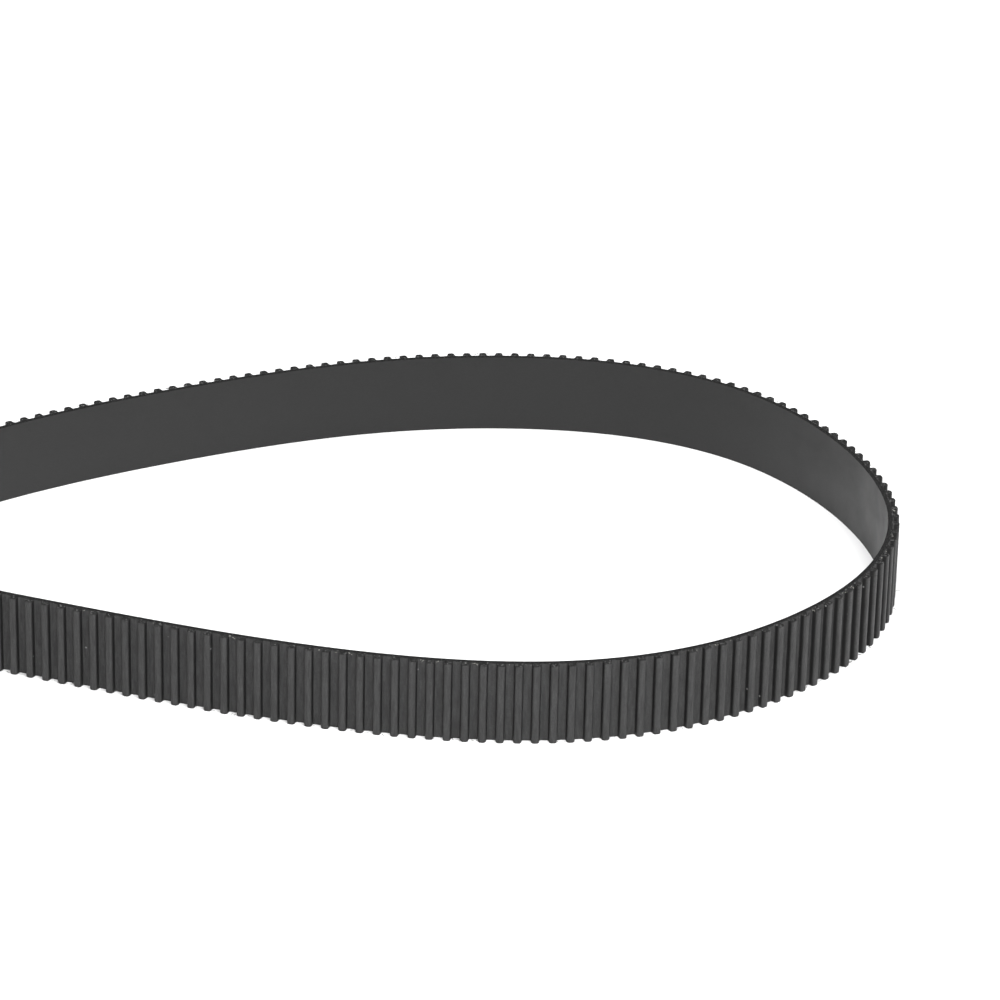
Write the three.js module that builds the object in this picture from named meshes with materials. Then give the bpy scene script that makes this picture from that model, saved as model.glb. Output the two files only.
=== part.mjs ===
// Endless synchronous drive belt with rounded teeth on the outside of its loop, standing on one cut edge.
// It is built in layers, as a moulded belt is: a woven facing over the teeth, the tooth rubber under it,
// two helically wound tension cords on the pitch line, and the smooth backing rubber on the inside.
// Millimetres, +Z up. The plan of the loop lies in XY, with the origin under the middle of its outline.
import * as THREE from 'three';

// Driving dimensions of the belt.
const PITCH = 2;
const TOOTH_COUNT = 160;
const BELT_WIDTH = 10;
const BELT_THICKNESS = 1.38; // from a tooth's tip to the back
const TOOTH_HEIGHT = 0.75;
const TOOTH_TIP_WIDTH = 0.84; // where the flank lines meet the tip line
const TOOTH_BASE_WIDTH = 1.06; // where the flank lines meet the land line
const TIP_ROUNDING = 0.3; // length that a rounded tip corner takes from the lines on its two sides
const ROOT_ROUNDING = 0.12; // the same for the fillet at the root
const LAND_ABOVE_PITCH_LINE = 0.254;
const FIRST_TOOTH_AT = 1.29; // along the pitch line, from the start of the loop's curve

// Layers.
const FACING_THICKNESS = 0.08;
const CORE_TIP_WIDTH = 0.44; // flat top of the rubber inside a tooth
const CORE_SHOULDER_WIDTH = 0.72;
const CORE_SHOULDER_DROP = 0.17; // from that flat top to the shoulders
const CORE_BASE_WIDTH = 0.92; // the rubber inside a tooth, where it meets the rubber under the lands
const LAYER_GAP = 0.015;
const CORD_DIAMETER = 0.22;
const CORD_TURNS = 10;
const CORD_LEAD = 0.9; // rise of each cord in one turn; the other cord lies midway
const CORD_EDGE_MARGIN = 0.3; // from the lower cut edge to the first winding's middle
const STATION_COUNT = 48; // facets of the inner layers round the loop

// Plan of the pitch line, anticlockwise from its tight end: control points of a closed cubic B-spline.
const LOOP_CONTROL_POINTS = [
  [-63, -19], [-36.5, -28], [-7, -38], [25, -42], [50.5, -30],
  [68, -2.5], [48, 36.5], [11.5, 41], [-18, 32.5], [-64.5, 7.5],
];
const LENGTH_SAMPLES = 4800;

// Distances from the pitch line, positive towards the teeth.
const TIP_OFFSET = LAND_ABOVE_PITCH_LINE + TOOTH_HEIGHT;
const BACK_OFFSET = TIP_OFFSET - BELT_THICKNESS;
const CORE_LAND_OFFSET = LAND_ABOVE_PITCH_LINE - FACING_THICKNESS;
const CORD_BED_OFFSET = CORD_DIAMETER / 2 + LAYER_GAP;
const LOOP_LENGTH = PITCH * TOOTH_COUNT;

// The pitch line as a curve, scaled so that it holds a whole number of pitches exactly.
class PitchLine extends THREE.Curve {
  constructor(scale = 1) {
    super();
    this.scale = scale;
    this.arcLengthDivisions = LENGTH_SAMPLES;
  }

  getPoint(t, target = new THREE.Vector3()) {
    const count = LOOP_CONTROL_POINTS.length;
    const segment = Math.floor(t * count);
    const u = t * count - segment;
    const weights = [
      (1 - u) ** 3,
      3 * u ** 3 - 6 * u ** 2 + 4,
      -3 * u ** 3 + 3 * u ** 2 + 3 * u + 1,
      u ** 3,
    ];
    target.set(0, 0, 0);
    weights.forEach((weight, i) => {
      const [x, y] = LOOP_CONTROL_POINTS[(segment + i - 1 + count) % count];
      target.x += (x * weight * this.scale) / 6;
      target.y += (y * weight * this.scale) / 6;
    });
    return target;
  }
}
const pitchLine = new PitchLine(LOOP_LENGTH / new PitchLine().getLength());

// Place on the pitch line: its point, its direction along the belt, and the outward normal.
function placeAlong(distance) {
  const share = THREE.MathUtils.euclideanModulo(distance / LOOP_LENGTH, 1);
  const point = pitchLine.getPointAt(share);
  const along = pitchLine.getTangentAt(share);
  const outward = new THREE.Vector3(along.y, -along.x, 0);
  return { point, along, outward };
}

function offsetFrom({ point, along, outward }, forward, out) {
  const moved = point.clone().addScaledVector(along, forward).addScaledVector(outward, out);
  return new THREE.Vector2(moved.x, moved.y);
}

// Start, middle and end of the arc that rounds a corner of the section between two of its lines.
function roundedCorner(corner, before, after, cut) {
  const toBefore = before.clone().sub(corner).normalize();
  const toAfter = after.clone().sub(corner).normalize();
  const bisector = toBefore.clone().add(toAfter).normalize();
  const halfAngle = toBefore.angleTo(toAfter) / 2;
  const radius = cut * Math.tan(halfAngle);
  const cornerToCentre = cut / Math.cos(halfAngle);
  return [
    corner.clone().addScaledVector(toBefore, cut),
    corner.clone().addScaledVector(bisector, cornerToCentre - radius),
    corner.clone().addScaledVector(toAfter, cut),
  ];
}

// Half of a tooth's section, from its tip to the land, as (distance from its centre line, height).
function facingToothHalf() {
  const top = new THREE.Vector2(0, TIP_OFFSET);
  const tip = new THREE.Vector2(TOOTH_TIP_WIDTH / 2, TIP_OFFSET);
  const base = new THREE.Vector2(TOOTH_BASE_WIDTH / 2, LAND_ABOVE_PITCH_LINE);
  const land = new THREE.Vector2(PITCH / 2, LAND_ABOVE_PITCH_LINE);
  return [
    ...roundedCorner(tip, top, base, TIP_ROUNDING),
    ...roundedCorner(base, tip, land, ROOT_ROUNDING),
  ];
}

// The same for the rubber core of a tooth, with three corners that stay a facing's thickness inside.
function coreToothHalf(inset) {
  const top = TIP_OFFSET - FACING_THICKNESS;
  return [
    new THREE.Vector2(CORE_TIP_WIDTH / 2 - inset, top - inset),
    new THREE.Vector2(CORE_SHOULDER_WIDTH / 2 - inset, top - CORE_SHOULDER_DROP - inset),
    new THREE.Vector2(CORE_BASE_WIDTH / 2 - inset, CORE_LAND_OFFSET - inset),
  ];
}

// Closed outline of all the teeth. Each tooth keeps its shape, and only the lands follow the bend.
function toothedOutline(half) {
  const whole = [
    ...half.toReversed().map((corner) => new THREE.Vector2(-corner.x, corner.y)),
    ...half,
  ];
  const outline = [];
  for (let tooth = 0; tooth < TOOTH_COUNT; tooth += 1) {
    const place = placeAlong(FIRST_TOOTH_AT + tooth * PITCH);
    outline.push(...whole.map((corner) => offsetFrom(place, corner.x, corner.y)));
  }
  return outline;
}

// Distances along the loop for the facets of the inner layers, closer together where it bends more:
// each step takes an equal share of the loop's length and turning added together.
function facetStations() {
  const stations = [0];
  let share = 0;
  let before = placeAlong(0).along;
  for (let sample = 1; sample < LENGTH_SAMPLES; sample += 1) {
    const distance = (sample * LOOP_LENGTH) / LENGTH_SAMPLES;
    const { along } = placeAlong(distance);
    share += 0.5 / LENGTH_SAMPLES + before.angleTo(along) / (4 * Math.PI);
    before = along;
    if (share * STATION_COUNT >= stations.length && stations.length < STATION_COUNT) {
      stations.push(distance);
    }
  }
  return stations;
}
const stationPlaces = facetStations().map(placeAlong);

function facetedOutline(out) {
  return stationPlaces.map((place) => offsetFrom(place, 0, out));
}

function ringGeometry(outer, inner) {
  const shape = new THREE.Shape(outer);
  shape.holes.push(new THREE.Path(inner));
  return new THREE.ExtrudeGeometry(shape, { depth: BELT_WIDTH, bevelEnabled: false });
}

// A cord's middle line: it climbs steadily while it runs round the loop from station to station.
class CordPath extends THREE.Curve {
  constructor(startHeight) {
    super();
    this.startHeight = startHeight;
  }

  getPoint(t, target = new THREE.Vector3()) {
    const steps = t * CORD_TURNS * STATION_COUNT;
    const from = Math.floor(steps);
    const here = stationPlaces[from % STATION_COUNT].point;
    const next = stationPlaces[(from + 1) % STATION_COUNT].point;
    target.lerpVectors(here, next, steps - from);
    target.z = this.startHeight + t * CORD_TURNS * CORD_LEAD;
    return target;
  }

  getPointAt(share, target) {
    return this.getPoint(share, target);
  }

  getTangentAt(share, target = new THREE.Vector3()) {
    const station = Math.round(share * CORD_TURNS * STATION_COUNT) % STATION_COUNT;
    target.copy(stationPlaces[station].along).multiplyScalar(LOOP_LENGTH);
    target.z = CORD_LEAD;
    return target.normalize();
  }
}

// A winding's round section is drawn as a square of the same area.
function cordGeometry(startHeight) {
  const half = (CORD_DIAMETER * Math.sqrt(Math.PI)) / 4;
  const section = new THREE.Shape([
    new THREE.Vector2(-half, -half),
    new THREE.Vector2(half, -half),
    new THREE.Vector2(half, half),
    new THREE.Vector2(-half, half),
  ]);
  return new THREE.ExtrudeGeometry(section, {
    steps: CORD_TURNS * STATION_COUNT,
    extrudePath: new CordPath(startHeight),
  });
}

const facingFabric = new THREE.MeshStandardMaterial({ color: 0x3a3a3a, roughness: 0.72, metalness: 0 });
const blackRubber = new THREE.MeshStandardMaterial({ color: 0x262626, roughness: 0.6, metalness: 0 });
const backRubber = new THREE.MeshStandardMaterial({ color: 0x343434, roughness: 0.5, metalness: 0 });
const glassCord = new THREE.MeshStandardMaterial({ color: 0xb9b29a, roughness: 0.8, metalness: 0 });

const belt = new THREE.Group();

function addPart(name, geometry, material) {
  const mesh = new THREE.Mesh(geometry, material);
  mesh.name = name;
  belt.add(mesh);
}

const facingOutline = toothedOutline(facingToothHalf());
addPart('tooth_facing_fabric', ringGeometry(facingOutline, toothedOutline(coreToothHalf(0))), facingFabric);
addPart(
  'tooth_rubber',
  ringGeometry(toothedOutline(coreToothHalf(LAYER_GAP)), facetedOutline(CORD_BED_OFFSET)),
  blackRubber,
);
addPart('tension_cord_s_twist', cordGeometry(CORD_EDGE_MARGIN), glassCord);
addPart('tension_cord_z_twist', cordGeometry(CORD_EDGE_MARGIN + CORD_LEAD / 2), glassCord);
addPart(
  'backing_rubber',
  ringGeometry(facetedOutline(-CORD_BED_OFFSET), facetedOutline(BACK_OFFSET)),
  backRubber,
);

// The origin goes under the middle of the outer outline.
const middle = new THREE.Box2().setFromPoints(facingOutline).getCenter(new THREE.Vector2());
belt.position.set(-middle.x, -middle.y, 0);

export default belt;
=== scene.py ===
import math

import bpy
import numpy as np
from mathutils import Matrix, Vector, noise


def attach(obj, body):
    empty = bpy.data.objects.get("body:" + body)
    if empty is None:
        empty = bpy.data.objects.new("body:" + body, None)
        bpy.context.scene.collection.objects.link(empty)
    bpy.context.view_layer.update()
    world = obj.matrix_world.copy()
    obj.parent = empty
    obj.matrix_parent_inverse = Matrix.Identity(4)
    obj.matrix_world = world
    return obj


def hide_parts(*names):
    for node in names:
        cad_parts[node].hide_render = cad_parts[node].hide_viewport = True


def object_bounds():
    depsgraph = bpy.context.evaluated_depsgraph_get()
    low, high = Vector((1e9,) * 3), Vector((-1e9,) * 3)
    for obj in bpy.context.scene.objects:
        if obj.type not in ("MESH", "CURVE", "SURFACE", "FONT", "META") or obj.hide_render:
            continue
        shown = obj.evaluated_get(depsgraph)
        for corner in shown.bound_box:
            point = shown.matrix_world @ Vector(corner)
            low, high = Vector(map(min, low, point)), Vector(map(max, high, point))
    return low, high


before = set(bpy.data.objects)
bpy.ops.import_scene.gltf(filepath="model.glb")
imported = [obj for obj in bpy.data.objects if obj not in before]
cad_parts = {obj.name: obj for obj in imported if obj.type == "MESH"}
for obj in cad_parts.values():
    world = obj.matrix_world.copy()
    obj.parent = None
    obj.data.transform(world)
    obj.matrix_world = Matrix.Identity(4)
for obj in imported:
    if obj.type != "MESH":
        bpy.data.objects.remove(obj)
cad_low, cad_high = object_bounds()

# Driving dimensions of the belt, in metres, as in the CAD. The CAD's box gives the place and the width.
MM = 0.001
PITCH = 2 * MM
TOOTH_COUNT = 160
BELT_THICKNESS = 1.38 * MM
TOOTH_HEIGHT = 0.75 * MM
TOOTH_TIP_WIDTH = 0.84 * MM
TOOTH_BASE_WIDTH = 1.06 * MM
TIP_ROUNDING = 0.3 * MM
ROOT_ROUNDING = 0.12 * MM
LAND_ABOVE_PITCH_LINE = 0.254 * MM
FIRST_TOOTH_AT = 1.29 * MM
FACING_THICKNESS = 0.08 * MM
LAYER_GAP = 0.008 * MM  # narrower than in the CAD, because the real layers are bonded
CORD_DIAMETER = 0.22 * MM
CORD_TURNS = 10
CORD_LEAD = 0.9 * MM
CORD_EDGE_MARGIN = 0.3 * MM
EDGE_LIP = 0.03 * MM  # rubber that closes the cords' slot at the two cut edges

# Unevenness of the surfaces: how deep it goes, and the size of one patch.
FACING_UNEVENNESS = 0.006 * MM
FACING_PATCH = 0.6 * MM
CUT_ROUNDING = 0.06 * MM  # how far the knife drags the facing in at the two cut edges
CUT_ROUNDING_HEIGHT = 0.11 * MM
TORN_PATCH = 0.15 * MM
CUT_DEPTH = 0.015 * MM
CUT_PATCH = 0.22 * MM
PATCH_SQUEEZE = (1.0, 1.0, 0.45)  # makes the facing's patches longer along a tooth
TORN_EDGE_SHARE = 0.3  # share of its unshaded value that the facing's torn edges keep, which makes them darker than its tips

# Mesh density.
PITCH_LINE_SAMPLES = 9600
TIP_ARC_STEPS = 5
ROOT_ARC_STEPS = 3
FACING_ROWS = 19
BACKING_ROWS = 21
BACKING_COLUMNS = 1200
TOOTH_CUT_STEPS = 6
BACKING_CUT_STEPS = 5
CORD_STEPS_PER_TURN = 240
CORD_SIDES = 12
FIBRE_STEPS = 5
FIBRE_SIDES = 6
SHARP_ANGLE = math.radians(50)

# The cords' make-up.
CORD_PLIES = 3
CORD_LAY_LENGTH = 8 * MM
CORD_PLY_DEPTH = 0.1  # depth of the grooves between the plies, as a share of the cord's radius

# Loose fibres on the cut edges: clusters along the belt, places across it, and sizes.
THREAD_CLUSTERS = 90
THREADS_IN_CLUSTER = 6
THREAD_SPREAD = 1.2 * MM
THREAD_OFFSETS = (LAND_ABOVE_PITCH_LINE, LAND_ABOVE_PITCH_LINE + TOOTH_HEIGHT - 0.2 * MM)
THREAD_LENGTHS = (0.25 * MM, 0.8 * MM)
FILAMENT_CLUSTERS = 45
FILAMENTS_IN_CLUSTER = 6
FILAMENT_SPREAD = 0.8 * MM
FILAMENT_OFFSETS = (-0.1 * MM, 0.6 * MM)
FILAMENT_LENGTHS = (0.1 * MM, 0.35 * MM)
FIBRE_RADII = (0.016 * MM, 0.03 * MM)
FIBRE_TAPER = 0.6  # share of its radius that a fibre loses towards its end
FIBRE_DROOP = 0.25  # share of its length that a fibre's end may lie inside the cut edge

# Tones of the materials, as grey reflectance. A pair holds the darkest and the palest.
FACING_TONES = (0.034, 0.05)
FACING_STREAK_TONE = 0.072
FACING_PIT_TONE = 0.026
# Painted shade: the dark tone that the flanks and roots of the teeth are mixed towards; the torn edges are
# darkened towards it too.
PAINTED_FLANK_SHADE_TONE = 0.012
DUST_TONE = 0.2
BACKING_TONES = (0.01, 0.015)
BACKING_SCRATCH_TONE = 0.019
CUT_BACKING_TONES = (0.005, 0.03)
CUT_RUBBER_TONES = (0.004, 0.018)
CUT_FIBRE_TONE = 0.15
FLOOR_TONES = (0.79, 0.81)
CORD_COLOURS = ((0.35, 0.34, 0.3, 1.0), (0.58, 0.57, 0.52, 1.0))

# Relief of the materials.
THREAD_SPACING = 0.11 * MM  # of the facing's weave
WEAVE_DEPTH = 0.012 * MM
STREAK_DEPTH = 0.012 * MM
SCRATCH_DEPTH = 0.004 * MM
CUT_BACKING_DEPTH = 0.03 * MM
CUT_RUBBER_DEPTH = 0.04 * MM
FILAMENT_DEPTH = 0.02 * MM

# Plan of the pitch line, in millimetres: control points of a closed cubic B-spline.
LOOP_CONTROL_POINTS = [
    (-63, -19), (-36.5, -28), (-7, -38), (25, -42), (50.5, -30),
    (68, -2.5), (48, 36.5), (11.5, 41), (-18, 32.5), (-64.5, 7.5),
]

LOWER_EDGE = cad_low.z
UPPER_EDGE = cad_high.z
TIP_OFFSET = LAND_ABOVE_PITCH_LINE + TOOTH_HEIGHT
BACK_OFFSET = TIP_OFFSET - BELT_THICKNESS
CORD_BED_OFFSET = CORD_DIAMETER / 2 + LAYER_GAP
LOOP_LENGTH = PITCH * TOOTH_COUNT

FLOOR_SIZE = 12.0
AMBIENT_LIGHT = 0.17

# Area lights that face the origin: azimuth (0 in front of the loop, 90 at its right) and elevation in
# degrees, distance and size in metres, and power in watts.
LIGHTS = {
    "front_softbox": (18, 62, 0.55, (0.42, 0.42), 5.2),
    "overhead_softbox": (0, 88, 1.5, (1.2, 1.2), 7),
    "right_strip": (115, 22, 1.2, (0.4, 0.8), 7),
    "backdrop": (180, 8, 1.5, (1.6, 0.7), 7),
}

# Camera: it looks down at the loop from in front through a long lens, tilted a little about its axis.
CAMERA_TARGET = Vector((15.3, 19.45, 0)) * MM
CAMERA_DISTANCE = 0.679
CAMERA_ELEVATION = math.radians(27.59)
CAMERA_ROLL = math.radians(-1.317)
CAMERA_LENS = 198.1


# ---------------------------------------------------------------------------
# The loop's plan
# ---------------------------------------------------------------------------

def spline_samples(count):
    """Points on the closed B-spline of the control points, evenly spaced in its parameter."""
    control = np.array(LOOP_CONTROL_POINTS, float) * MM
    number = len(control)
    parameter = np.linspace(0, number, count + 1)
    segment = np.minimum(parameter.astype(int), number - 1)
    u = (parameter - segment)[:, None]
    weights = [
        (1 - u) ** 3,
        3 * u ** 3 - 6 * u ** 2 + 4,
        -3 * u ** 3 + 3 * u ** 2 + 3 * u + 1,
        u ** 3,
    ]
    return sum(w / 6 * control[(segment + i - 1) % number] for i, w in enumerate(weights))


class PitchLine:
    """The belt's pitch line: gives the point, direction and outward normal at distances along it."""

    def __init__(self):
        points = spline_samples(PITCH_LINE_SAMPLES)
        steps = np.hypot(*np.diff(points, axis=0).T)
        self.distance = np.concatenate([[0], np.cumsum(steps)])
        scale = LOOP_LENGTH / self.distance[-1]
        self.distance *= scale
        self.points = points * scale
        self.along = np.gradient(self.points, self.distance, axis=0)
        self.along[0] = self.along[-1] = self.points[1] - self.points[-2]
        self.along /= np.hypot(*self.along.T)[:, None]
        self.centre_in_cad_box()

    def centre_in_cad_box(self):
        places = self.at(FIRST_TOOTH_AT + PITCH * np.arange(TOOTH_COUNT))
        flat = TOOTH_TIP_WIDTH / 2 - TIP_ROUNDING
        tips = np.concatenate([moved(places, side * flat, TIP_OFFSET) for side in (-1, 1)])
        middle = (tips.min(0) + tips.max(0)) / 2
        self.points += np.array([cad_low.x + cad_high.x, cad_low.y + cad_high.y]) / 2 - middle

    def at(self, distance):
        wrapped = np.mod(distance, LOOP_LENGTH)
        point = np.stack([np.interp(wrapped, self.distance, self.points[:, i]) for i in (0, 1)], -1)
        along = np.stack([np.interp(wrapped, self.distance, self.along[:, i]) for i in (0, 1)], -1)
        along /= np.linalg.norm(along, axis=-1, keepdims=True)
        outward = np.stack([along[..., 1], -along[..., 0]], -1)
        return point, along, outward


def moved(places, forward, out):
    """Plan points moved from their places along the belt and outwards."""
    point, along, outward = places
    forward = np.asarray(forward, float)[..., None]
    out = np.asarray(out, float)[..., None]
    return point + along * forward + outward * out


pitch_line = PitchLine()


# ---------------------------------------------------------------------------
# The tooth's section
# ---------------------------------------------------------------------------

def rounded_corner(corner, before, after, steps, cut):
    """Arc that touches both lines at the length cut from their corner."""
    corner, before, after = (np.array(p, float) for p in (corner, before, after))
    to_before = (before - corner) / np.linalg.norm(before - corner)
    to_after = (after - corner) / np.linalg.norm(after - corner)
    start = corner + to_before * cut
    end = corner + to_after * cut
    half_angle = math.acos(np.clip(to_before @ to_after, -1, 1)) / 2
    bisector = (to_before + to_after) / np.linalg.norm(to_before + to_after)
    centre = corner + bisector * cut / math.cos(half_angle)
    radius = np.linalg.norm(start - centre)
    first = math.atan2(*(start - centre)[::-1])
    last = math.atan2(*(end - centre)[::-1])
    turn = (last - first + math.pi) % (2 * math.pi) - math.pi
    angles = first + turn * np.linspace(0, 1, steps + 1)
    return centre + radius * np.stack([np.cos(angles), np.sin(angles)], -1)


def tooth_half_section(inset):
    """Half a pitch of the toothed surface, as (forward, out) from a tooth's middle to a land's middle.

    Gives the section moved inwards by the inset, and how far forward its land starts.
    """
    top = (0, TIP_OFFSET)
    tip = (TOOTH_TIP_WIDTH / 2, TIP_OFFSET)
    base = (TOOTH_BASE_WIDTH / 2, LAND_ABOVE_PITCH_LINE)
    land_middle = (PITCH / 2, LAND_ABOVE_PITCH_LINE)
    tip_arc = rounded_corner(tip, top, base, TIP_ARC_STEPS, TIP_ROUNDING)
    root_arc = rounded_corner(base, tip, land_middle, ROOT_ARC_STEPS, ROOT_ROUNDING)
    flank_middle = (tip_arc[-1] + root_arc[0]) / 2
    land_edge = root_arc[-1, 0]
    land_quarter = ((land_edge + PITCH / 2) / 2, LAND_ABOVE_PITCH_LINE)
    section = np.concatenate([[top], tip_arc, [flank_middle], root_arc, [land_quarter, land_middle]])
    ahead = np.gradient(section, axis=0)
    ahead /= np.hypot(*ahead.T)[:, None]
    inward = np.stack([ahead[:, 1], -ahead[:, 0]], -1)
    inward[0] = inward[-1] = (0, -1)
    return section + inward * inset, land_edge


def toothed_columns(inset=0.0):
    """Plan points all round the toothed surface, and for each its distance along the belt.

    Each tooth keeps its shape, and only the lands between the teeth follow the bend.
    """
    half, land_edge = tooth_half_section(inset)
    mirrored = half[::-1] * (-1, 1)
    whole = np.concatenate([mirrored[1:], half[1:]])
    sharp = tooth_half_section(0.0)[0]
    nominal = np.concatenate([-sharp[::-1, 0][1:], sharp[1:, 0]])
    middles = FIRST_TOOTH_AT + PITCH * np.arange(TOOTH_COUNT)[:, None]
    rigid = moved(pitch_line.at(middles), whole[:, 0], whole[:, 1])
    bent = moved(pitch_line.at(middles + nominal), 0.0, whole[:, 1])
    on_land = (np.abs(nominal) > land_edge)[None, :, None]
    plan = np.where(on_land, bent, rigid).reshape(-1, 2)
    return plan, (middles + nominal).ravel()


# ---------------------------------------------------------------------------
# Meshes
# ---------------------------------------------------------------------------

def ring_object(name, loops, material, node, cut_material=None):
    """A closed ring with one section per column: loops has the shape (columns, section points, 3).

    The UV map runs along the belt and round the section, in metres. The faces on the two cut edges get
    the cut material, if there is one.
    """
    columns, around, _ = loops.shape
    index = np.arange(columns * around).reshape(columns, around)
    next_column = np.roll(index, -1, axis=0)
    faces = np.stack([
        index,
        next_column,
        np.roll(next_column, -1, axis=1),
        np.roll(index, -1, axis=1),
    ], -1).reshape(-1, 4)
    mesh = bpy.data.meshes.new(name)
    mesh.from_pydata(loops.reshape(-1, 3).tolist(), [], faces.tolist())
    mesh.uv_layers.new(name="belt").uv.foreach_set("vector", ring_uv(loops).ravel())
    add_piece(name, mesh, material, node)
    if cut_material is not None:
        mesh.materials.append(cut_material)
        steps = np.abs(np.roll(loops[0], -1, axis=0) - loops[0])
        lies_flat = steps[:, 2] < np.hypot(steps[:, 0], steps[:, 1])
        mesh.polygons.foreach_set("material_index", np.tile(lies_flat.astype(np.int32), columns))
    return mesh


def add_piece(name, mesh, material, node):
    """Finishes a mesh and puts it in the scene in the place of its CAD node."""
    mesh.polygons.foreach_set("use_smooth", np.ones(len(mesh.polygons), bool))
    mesh.set_sharp_from_angle(angle=SHARP_ANGLE)
    mesh.materials.append(material)
    mesh.update()
    piece = bpy.data.objects.new(name, mesh)
    bpy.context.scene.collection.objects.link(piece)
    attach(piece, "root")
    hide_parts(node)


def ring_uv(loops):
    """Corner UVs of a ring: u runs along its first row, with no jump at its end, and v round the section."""
    columns, around, _ = loops.shape
    along = np.linalg.norm(np.roll(loops[:, 0], -1, axis=0) - loops[:, 0], axis=1)
    along = np.concatenate([[0], np.cumsum(along)])
    across = np.linalg.norm(np.roll(loops[0], -1, axis=0) - loops[0], axis=1)
    across = np.concatenate([[0], np.cumsum(across)])
    u = np.stack([along[:-1], along[1:], along[1:], along[:-1]], -1)
    v = np.stack([across[:-1], across[:-1], across[1:], across[1:]], -1)
    return np.stack([
        np.broadcast_to(u[:, None], (columns, around, 4)),
        np.broadcast_to(v[None], (columns, around, 4)),
    ], -1)


def smooth_noise(points, scale, seed):
    """Perlin noise between about -1 and 1 at each point, with features of the given size."""
    shift = Vector((seed * 17.3, seed * 5.1, seed * 9.7))
    flat = points.reshape(-1, 3) / scale
    return np.array([noise.noise(Vector(p) + shift) for p in flat]).reshape(points.shape[:-1])


def wall(plan, heights):
    """A wall of points over the plan, one for each height."""
    columns = len(plan)
    points = np.empty((columns, len(heights), 3))
    points[:, :, :2] = plan[:, None]
    points[:, :, 2] = heights
    return points


def cap(outer, inner, height, steps):
    """Points from the outer plan to the inner one at one height, without the two ends."""
    share = np.linspace(0, 1, steps + 1)[1:-1][None, :, None]
    points = np.empty((len(outer), steps - 1, 3))
    points[:, :, :2] = outer[:, None] * (1 - share) + inner[:, None] * share
    points[:, :, 2] = height
    return points


def make_facing(material):
    """The woven skin over the teeth, with torn cut edges and a mask that sets where painted shade darkens
    it.
    """
    outer, distance = toothed_columns()
    inner, _ = toothed_columns(FACING_THICKNESS)
    lowest_row = LOWER_EDGE + CUT_ROUNDING_HEIGHT
    highest_row = UPPER_EDGE - CUT_ROUNDING_HEIGHT
    rows = np.linspace(lowest_row, highest_row, FACING_ROWS)
    heights = np.concatenate([[LOWER_EDGE], rows, [UPPER_EDGE]])
    outer_wall = wall(outer, heights)
    inner_wall = wall(inner, heights[[-1, 0]])
    # The moulded surface is slightly uneven.
    sunk = FACING_UNEVENNESS * (1 + smooth_noise(outer_wall * PATCH_SQUEEZE, FACING_PATCH, 1))
    # At the cut edges the threads are torn and lie lower in places.
    torn = smooth_noise(outer_wall[:, [0, -1]], TORN_PATCH, 3)
    sunk[:, [0, -1]] += CUT_ROUNDING * (0.5 + 0.5 * torn)
    inwards = (inner - outer) / FACING_THICKNESS
    outer_wall[:, :, :2] += inwards[:, None] * sunk[..., None]
    loops = np.concatenate([outer_wall, inner_wall], axis=1)
    # Painted shade: flanks and roots, which face sideways, get a low value and are darkened in the material,
    # while tips and lands, which face outwards, keep the facing's tone. The torn edges get a lower value
    # too.
    _, _, outward = pitch_line.at(distance)
    unshaded_share = np.zeros(loops.shape[:2])
    unshaded_share[:, :len(heights)] = np.clip(-(inwards * outward).sum(-1), 0, 1)[:, None]
    unshaded_share[:, [0, len(heights) - 1]] *= TORN_EDGE_SHARE
    mesh = ring_object("facing_fabric", loops, material, "tooth_facing_fabric")
    mesh.attributes.new("unshaded_share", "FLOAT", "POINT").data.foreach_set("value", unshaded_share.ravel())


def make_tooth_rubber(material):
    """The rubber inside the teeth, and its thin layer between the lands and the cords."""
    outer, distance = toothed_columns(FACING_THICKNESS + LAYER_GAP)
    inner = moved(pitch_line.at(distance), 0.0, CORD_BED_OFFSET)
    loops = np.concatenate([
        wall(outer, [LOWER_EDGE, UPPER_EDGE]),
        rough_cut(cap(outer, inner, UPPER_EDGE, TOOTH_CUT_STEPS), -1),
        wall(inner, [UPPER_EDGE, LOWER_EDGE]),
        rough_cut(cap(inner, outer, LOWER_EDGE, TOOTH_CUT_STEPS), 1),
    ], axis=1)
    ring_object("tooth_rubber_core", loops, material, "tooth_rubber")


def rough_cut(points, inward):
    """Sinks the points of a cut edge into the rubber by a small uneven depth."""
    depth = CUT_DEPTH * (1 + smooth_noise(points, CUT_PATCH, 2))
    points[:, :, 2] += inward * depth
    return points


def make_backing(material, cut_material):
    """The smooth band, with a lip at each cut edge that closes the cords' slot."""
    places = pitch_line.at(np.linspace(0, LOOP_LENGTH, BACKING_COLUMNS, endpoint=False))
    back = moved(places, 0.0, BACK_OFFSET)
    bed = moved(places, 0.0, -CORD_BED_OFFSET)
    lip = moved(places, 0.0, CORD_BED_OFFSET - LAYER_GAP)
    loops = np.concatenate([
        wall(lip, [LOWER_EDGE, LOWER_EDGE + EDGE_LIP]),
        wall(bed, [LOWER_EDGE + EDGE_LIP, UPPER_EDGE - EDGE_LIP]),
        wall(lip, [UPPER_EDGE - EDGE_LIP, UPPER_EDGE]),
        rough_cut(cap(lip, back, UPPER_EDGE, BACKING_CUT_STEPS), -1),
        wall(back, np.linspace(UPPER_EDGE, LOWER_EDGE, BACKING_ROWS)),
        rough_cut(cap(back, lip, LOWER_EDGE, BACKING_CUT_STEPS), 1),
    ], axis=1)
    ring_object("smooth_backing", loops, material, "backing_rubber", cut_material)


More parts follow.
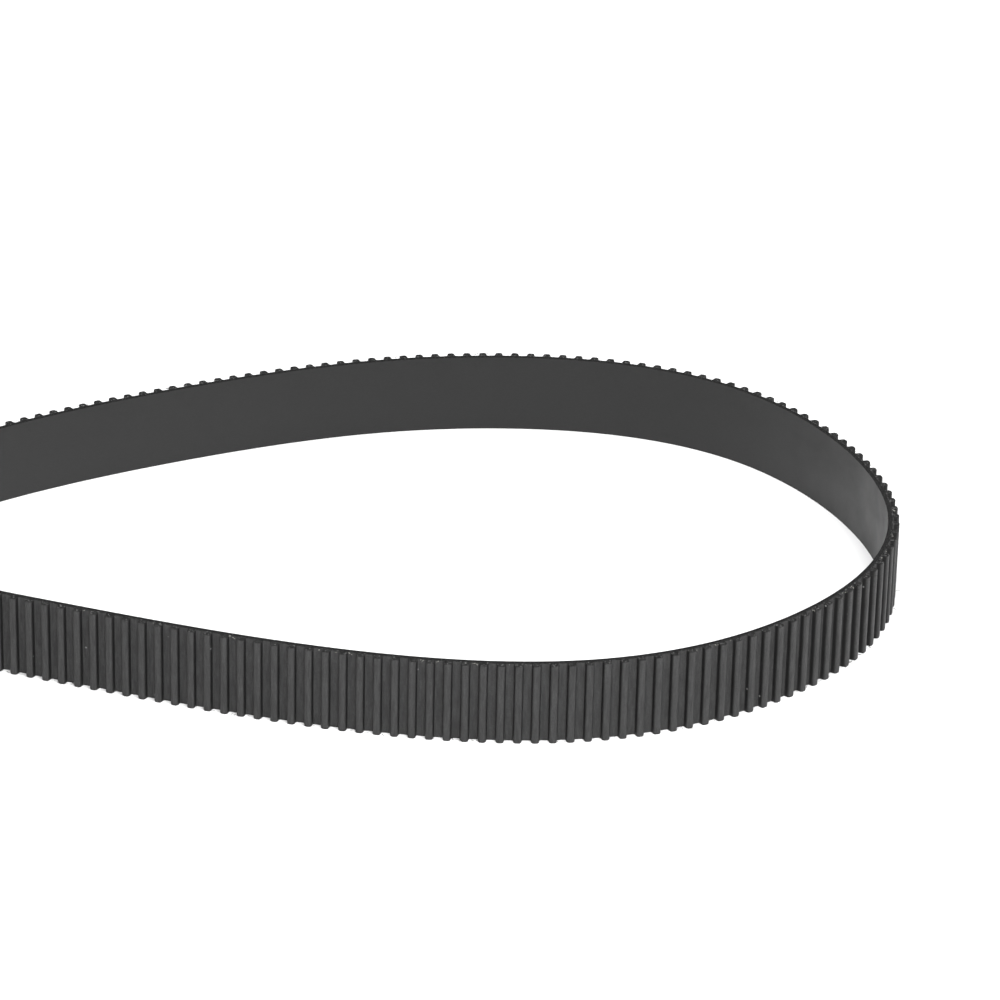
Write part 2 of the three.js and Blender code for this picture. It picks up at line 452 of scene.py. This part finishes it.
def make_cord(name, start_height, twist, material, node):
    """One tension cord: its plies twisted together, wound helically round the whole loop."""
    count = CORD_TURNS * CORD_STEPS_PER_TURN + 1
    travelled = np.linspace(0, CORD_TURNS * LOOP_LENGTH, count)
    point, _, outward = pitch_line.at(travelled)
    rise = start_height + CORD_TURNS * CORD_LEAD * np.linspace(0, 1, count)
    angle = np.linspace(0, 2 * math.pi, CORD_SIDES, endpoint=False)
    turned = angle[None] + twist * 2 * math.pi * travelled[:, None] / CORD_LAY_LENGTH
    grooved = 1 - CORD_PLY_DEPTH + CORD_PLY_DEPTH * np.cos(CORD_PLIES * angle)
    radius = CORD_DIAMETER / 2 * grooved[None]
    rings = np.empty((count, CORD_SIDES, 3))
    rings[:, :, :2] = point[:, None] + outward[:, None] * (radius * np.cos(turned))[..., None]
    rings[:, :, 2] = LOWER_EDGE + rise[:, None] + radius * np.sin(turned)
    index = np.arange(count * CORD_SIDES).reshape(count, CORD_SIDES)
    here, there = index[:-1], index[1:]
    faces = np.stack([here, there, np.roll(there, -1, axis=1), np.roll(here, -1, axis=1)], -1)
    mesh = bpy.data.meshes.new(name)
    ends = [index[0].tolist(), index[-1, ::-1].tolist()]
    mesh.from_pydata(rings.reshape(-1, 3).tolist(), [], faces.reshape(-1, 4).tolist() + ends)
    add_piece(name, mesh, material, node)


def clustered_distances(seed, clusters, members, spread):
    """Distances along the belt that lie in clusters, as tears along a knife's cut do."""
    random = np.random.default_rng(seed)
    middles = random.uniform(0, LOOP_LENGTH, clusters)
    return (middles[:, None] + random.normal(0, spread, (clusters, members))).ravel()


def fibre_rings(random, distance, offsets, lengths):
    """Points of one torn fibre, ring by ring: a bent tapered thread that lies close to a cut edge.

    It starts at the distance along the belt, at one of the two edges, and stays inside the width.
    """
    point, along, outward = (np.append(a, 0.0) for a in pitch_line.at(distance))
    upper = random.random() < 0.5
    start = point + outward * random.uniform(*offsets)
    length = random.uniform(*lengths)
    radius = random.uniform(*FIBRE_RADII)
    heading = along * random.uniform(-1, 1) + outward * random.uniform(0.2, 1)
    bend = along * random.uniform(-1, 1) + outward * random.uniform(-0.6, 0.6)
    across = np.cross(heading, (0, 0, 1))
    across /= np.linalg.norm(across)
    angle = np.linspace(0, 2 * math.pi, FIBRE_SIDES, endpoint=False)[:, None]
    circle = across * np.cos(angle) + np.array((0, 0, 1)) * np.sin(angle)
    rings = []
    for share in np.linspace(0, 1, FIBRE_STEPS + 1):
        middle = start + (heading * share + bend * share ** 2) * length
        inside = 1.5 * radius + FIBRE_DROOP * length * share ** 2 * abs(random.normal(0, 0.5))
        middle[2] = UPPER_EDGE - inside if upper else LOWER_EDGE + inside
        rings.append(middle + circle * radius * (1 - FIBRE_TAPER * share))
    return np.concatenate(rings)


def fibre_faces():
    """Faces of one fibre: its side, ring by ring, and its two ends."""
    index = np.arange((FIBRE_STEPS + 1) * FIBRE_SIDES).reshape(-1, FIBRE_SIDES)
    here, there = index[:-1], index[1:]
    sides = np.stack([here, np.roll(here, -1, axis=1), np.roll(there, -1, axis=1), there], -1)
    return sides.reshape(-1, 4).tolist() + [index[0, ::-1].tolist(), index[-1].tolist()]


def make_loose_fibres(name, seed, distances, offsets, lengths, material, node):
    """Torn fibres on the cut edges, one from each of the distances along the belt."""
    random = np.random.default_rng(seed)
    vertices = [fibre_rings(random, distance, offsets, lengths) for distance in distances]
    faces = [
        [corner + number * len(points) for corner in face]
        for number, points in enumerate(vertices)
        for face in fibre_faces()
    ]
    mesh = bpy.data.meshes.new(name)
    mesh.from_pydata(np.concatenate(vertices).tolist(), [], faces)
    add_piece(name, mesh, material, node)


# ---------------------------------------------------------------------------
# Materials
# ---------------------------------------------------------------------------

class Nodes:
    """A short way to write a material's node tree. The scale of a texture is in features per metre."""

    def __init__(self, name):
        self.material = bpy.data.materials.new(name)
        self.material.use_nodes = True
        self.tree = self.material.node_tree
        self.shader = self.tree.nodes["Principled BSDF"]

    def add(self, kind, inputs=None, **settings):
        node = self.tree.nodes.new(kind)
        for key, value in settings.items():
            setattr(node, key, value)
        for key, value in (inputs or {}).items():
            if isinstance(value, bpy.types.NodeSocket):
                self.tree.links.new(value, node.inputs[key])
            else:
                node.inputs[key].default_value = value
        return node

    def math(self, operation, *values):
        inputs = dict(enumerate(values))
        return self.add("ShaderNodeMath", inputs, operation=operation).outputs[0]

    def noise(self, vector, scale, detail=3.0, roughness=0.5):
        inputs = {"Vector": vector, "Scale": scale, "Detail": detail, "Roughness": roughness}
        return self.add("ShaderNodeTexNoise", inputs).outputs["Fac"]

    def place(self):
        return self.add("ShaderNodeTexCoord").outputs["Object"]

    def stretched(self, vector, scale):
        inputs = {"Vector": vector, "Scale": scale}
        return self.add("ShaderNodeMapping", inputs).outputs[0]

    def ramp(self, value, low, high, at=(0.3, 0.7)):
        node = self.add("ShaderNodeValToRGB", {"Fac": value})
        node.color_ramp.elements[0].position = at[0]
        node.color_ramp.elements[1].position = at[1]
        node.color_ramp.elements[0].color = grey(low)
        node.color_ramp.elements[1].color = grey(high)
        return node.outputs["Color"]

    def mix(self, factor, a, b):
        node = self.add("ShaderNodeMix", {"Factor": factor}, data_type="RGBA")
        for socket, value in (("A", a), ("B", b)):
            target = [s for s in node.inputs if s.name == socket and s.type == "RGBA"][0]
            if isinstance(value, bpy.types.NodeSocket):
                self.tree.links.new(value, target)
            else:
                target.default_value = value
        return [s for s in node.outputs if s.type == "RGBA"][0]

    def bump(self, height, distance, strength=1.0, under=None):
        inputs = {"Height": height, "Distance": distance, "Strength": strength}
        if under is not None:
            inputs["Normal"] = under
        return self.add("ShaderNodeBump", inputs).outputs["Normal"]

    def finish(self, colour, roughness, normal=None, **others):
        sockets = {"Base Color": colour, "Roughness": roughness}
        if normal is not None:
            sockets["Normal"] = normal
        sockets.update({key.replace("_", " "): value for key, value in others.items()})
        for key, value in sockets.items():
            if isinstance(value, bpy.types.NodeSocket):
                self.tree.links.new(value, self.shader.inputs[key])
            else:
                self.shader.inputs[key].default_value = value
        return self.material


def grey(value):
    """An opaque grey."""
    return (value, value, value, 1.0)


def weave_height(n, uv):
    """Height of a plain weave: two sets of round threads that pass over and under each other."""
    parts = n.add("ShaderNodeSeparateXYZ", {"Vector": uv}).outputs
    along = n.math("SINE", n.math("MULTIPLY", parts[0], math.pi / THREAD_SPACING))
    across = n.math("SINE", n.math("MULTIPLY", parts[1], math.pi / THREAD_SPACING))
    over = n.math("GREATER_THAN", n.math("MULTIPLY", along, across), 0.0)
    warp = n.math("MULTIPLY", n.math("ABSOLUTE", along), over)
    weft = n.math("MULTIPLY", n.math("ABSOLUTE", across), n.math("SUBTRACT", 1.0, over))
    return n.math("ADD", warp, weft)


def facing_material():
    """Black nylon weave pressed into rubber: matt, with wear streaks and a few pale specks of dust.

    The threads just show. The flanks and roots of the teeth are darkened with painted shade, by the mask
    that make_facing stores.
    """
    n = Nodes("facing_fabric")
    place = n.place()
    uv = n.add("ShaderNodeUVMap", uv_map="belt").outputs[0]
    weave = weave_height(n, uv)
    soft = n.noise(place, 390, 4.0, 0.6)
    streaks = n.noise(n.stretched(place, (1.0, 1.0, 0.12)), 3200, 3.0, 0.65)
    grain = n.noise(place, 7000, 2.0, 0.6)
    tone = n.mix(soft, *map(grey, FACING_TONES))
    tone = n.mix(n.ramp(streaks, 0.0, 0.85, (0.35, 0.65)), tone, grey(FACING_STREAK_TONE))
    tone = n.mix(n.ramp(grain, 0.0, 0.6), tone, grey(FACING_PIT_TONE))
    unshaded_share = n.add("ShaderNodeAttribute", attribute_name="unshaded_share").outputs["Fac"]
    # Painted shade: where the mask is low, on flanks, roots and torn edges, the tone is mixed towards the
    # dark flank shade tone.
    tone = n.mix(n.ramp(unshaded_share, 0.0, 1.0, (0.15, 0.75)), grey(PAINTED_FLANK_SHADE_TONE), tone)
    dust = n.add("ShaderNodeTexVoronoi", {"Vector": place, "Scale": 330}).outputs["Distance"]
    tone = n.mix(n.ramp(dust, 1.0, 0.0, (0.03, 0.045)), tone, grey(DUST_TONE))
    rough = n.ramp(soft, 0.5, 0.62)
    normal = n.bump(streaks, STREAK_DEPTH, 0.5)
    normal = n.bump(weave, WEAVE_DEPTH, 0.6, normal)
    return n.finish(tone, rough, normal, Specular_IOR_Level=0.18)


def backing_material():
    """Ground and buffed dark grey rubber with a satin sheen."""
    n = Nodes("backing_rubber")
    place = n.place()
    mottle = n.noise(place, 180, 5.0, 0.6)
    fine = n.noise(n.stretched(place, (1.0, 1.0, 3.0)), 2700, 3.0, 0.6)
    colour = n.mix(mottle, *map(grey, BACKING_TONES))
    colour = n.mix(n.ramp(fine, 0.0, 0.5), colour, grey(BACKING_SCRATCH_TONE))
    rough = n.ramp(mottle, 0.4, 0.52)
    return n.finish(colour, rough, n.bump(fine, SCRATCH_DEPTH, 0.5), Specular_IOR_Level=0.36)


def cut_backing_material():
    """The backing where the knife cut it: near-black, torn and dull."""
    n = Nodes("cut_backing")
    torn = n.noise(n.place(), 4500, 4.0, 0.65)
    colour = n.mix(n.ramp(torn, 0.0, 1.0, (0.45, 0.7)), *map(grey, CUT_BACKING_TONES))
    rough = n.ramp(torn, 0.75, 0.85)
    return n.finish(colour, rough, n.bump(torn, CUT_BACKING_DEPTH, 0.7), Specular_IOR_Level=0.08)


def cut_rubber_material():
    """Knife-cut black rubber of the teeth: torn and dull, with paler specks of fibre."""
    n = Nodes("cut_rubber")
    place = n.place()
    torn = n.noise(place, 3600, 4.0, 0.65)
    blotch = n.noise(place, 1300, 3.0, 0.6)
    colour = n.mix(n.ramp(blotch, 0.0, 1.0, (0.4, 0.68)), *map(grey, CUT_RUBBER_TONES))
    colour = n.mix(n.ramp(torn, 0.0, 1.0, (0.56, 0.66)), colour, grey(CUT_FIBRE_TONE))
    rough = n.ramp(torn, 0.6, 0.85)
    return n.finish(colour, rough, n.bump(torn, CUT_RUBBER_DEPTH, 0.8), Specular_IOR_Level=0.12)


def cord_material():
    """Glass-fibre cord: pale, with fine filaments along it."""
    n = Nodes("glass_cord")
    place = n.place()
    filament = n.noise(n.stretched(place, (1.0, 1.0, 4.0)), 6000, 3.0)
    colour = n.mix(filament, *CORD_COLOURS)
    return n.finish(colour, 0.6, n.bump(filament, FILAMENT_DEPTH, 0.6))


def floor_material():
    """Matt near-white, with a faint change of tone."""
    n = Nodes("pale_floor")
    faint = n.noise(n.place(), 6, 2.0)
    return n.finish(n.mix(faint, *map(grey, FLOOR_TONES)), 0.9)


# ---------------------------------------------------------------------------
# Floor, light and camera
# ---------------------------------------------------------------------------

def make_floor(material):
    """A large plain floor under the belt."""
    half = FLOOR_SIZE / 2
    mesh = bpy.data.meshes.new("floor")
    corners = [(-half, -half, 0), (half, -half, 0), (half, half, 0), (-half, half, 0)]
    mesh.from_pydata(corners, [], [(0, 1, 2, 3)])
    mesh.materials.append(material)
    floor = bpy.data.objects.new("floor", mesh)
    floor.location.z = LOWER_EDGE
    bpy.context.scene.collection.objects.link(floor)


def make_area_light(name, azimuth, elevation, distance, size, power):
    """A soft rectangular light that faces the origin."""
    turn = math.radians(azimuth)
    climb = math.radians(elevation)
    level = math.cos(climb)
    offset = Vector((math.sin(turn) * level, -math.cos(turn) * level, math.sin(climb)))
    data = bpy.data.lights.new(name, "AREA")
    data.shape = "RECTANGLE"
    data.size, data.size_y = size
    data.energy = power
    light = bpy.data.objects.new(name, data)
    light.location = offset * distance
    light.rotation_mode = "QUATERNION"
    light.rotation_quaternion = offset.to_track_quat("Z", "Y")
    bpy.context.scene.collection.objects.link(light)


def make_lights():
    """The area lights, with an even dim light from all round."""
    world = bpy.data.worlds.new("studio")
    world.use_nodes = True
    background = world.node_tree.nodes["Background"]
    background.inputs["Color"].default_value = grey(1.0)
    background.inputs["Strength"].default_value = AMBIENT_LIGHT
    bpy.context.scene.world = world
    for name, settings in LIGHTS.items():
        make_area_light(name, *settings)
    bpy.context.scene.view_settings.view_transform = "Standard"


def make_camera():
    """The camera, turned about its own axis by the roll."""
    forward = Vector((0, math.cos(CAMERA_ELEVATION), -math.sin(CAMERA_ELEVATION)))
    right = Vector((1, 0, 0))
    up = right.cross(forward)
    tilt = Matrix.Rotation(CAMERA_ROLL, 3, forward)
    data = bpy.data.cameras.new("camera")
    data.lens = CAMERA_LENS
    data.clip_start = 0.05
    data.clip_end = 50
    camera = bpy.data.objects.new("camera", data)
    axes = Matrix((tilt @ right, tilt @ up, -forward)).transposed()
    camera.matrix_world = Matrix.Translation(CAMERA_TARGET - forward * CAMERA_DISTANCE) @ axes.to_4x4()
    bpy.context.scene.collection.objects.link(camera)
    bpy.context.scene.camera = camera


make_camera()
make_lights()
make_floor(floor_material())
facing = facing_material()
make_facing(facing)
make_tooth_rubber(cut_rubber_material())
make_backing(backing_material(), cut_backing_material())
cord = cord_material()
make_cord("cord_s_twist", CORD_EDGE_MARGIN, 1, cord, "tension_cord_s_twist")
make_cord("cord_z_twist", CORD_EDGE_MARGIN + CORD_LEAD / 2, -1, cord, "tension_cord_z_twist")

thread_places = clustered_distances(5, THREAD_CLUSTERS, THREADS_IN_CLUSTER, THREAD_SPREAD)
make_loose_fibres(
    "torn_facing_threads", 6, thread_places, THREAD_OFFSETS, THREAD_LENGTHS,
    facing, "tooth_facing_fabric",
)
filament_places = clustered_distances(8, FILAMENT_CLUSTERS, FILAMENTS_IN_CLUSTER, FILAMENT_SPREAD)
make_loose_fibres(
    "cut_cord_filaments", 7, filament_places, FILAMENT_OFFSETS, FILAMENT_LENGTHS,
    cord, "tension_cord_s_twist",
)
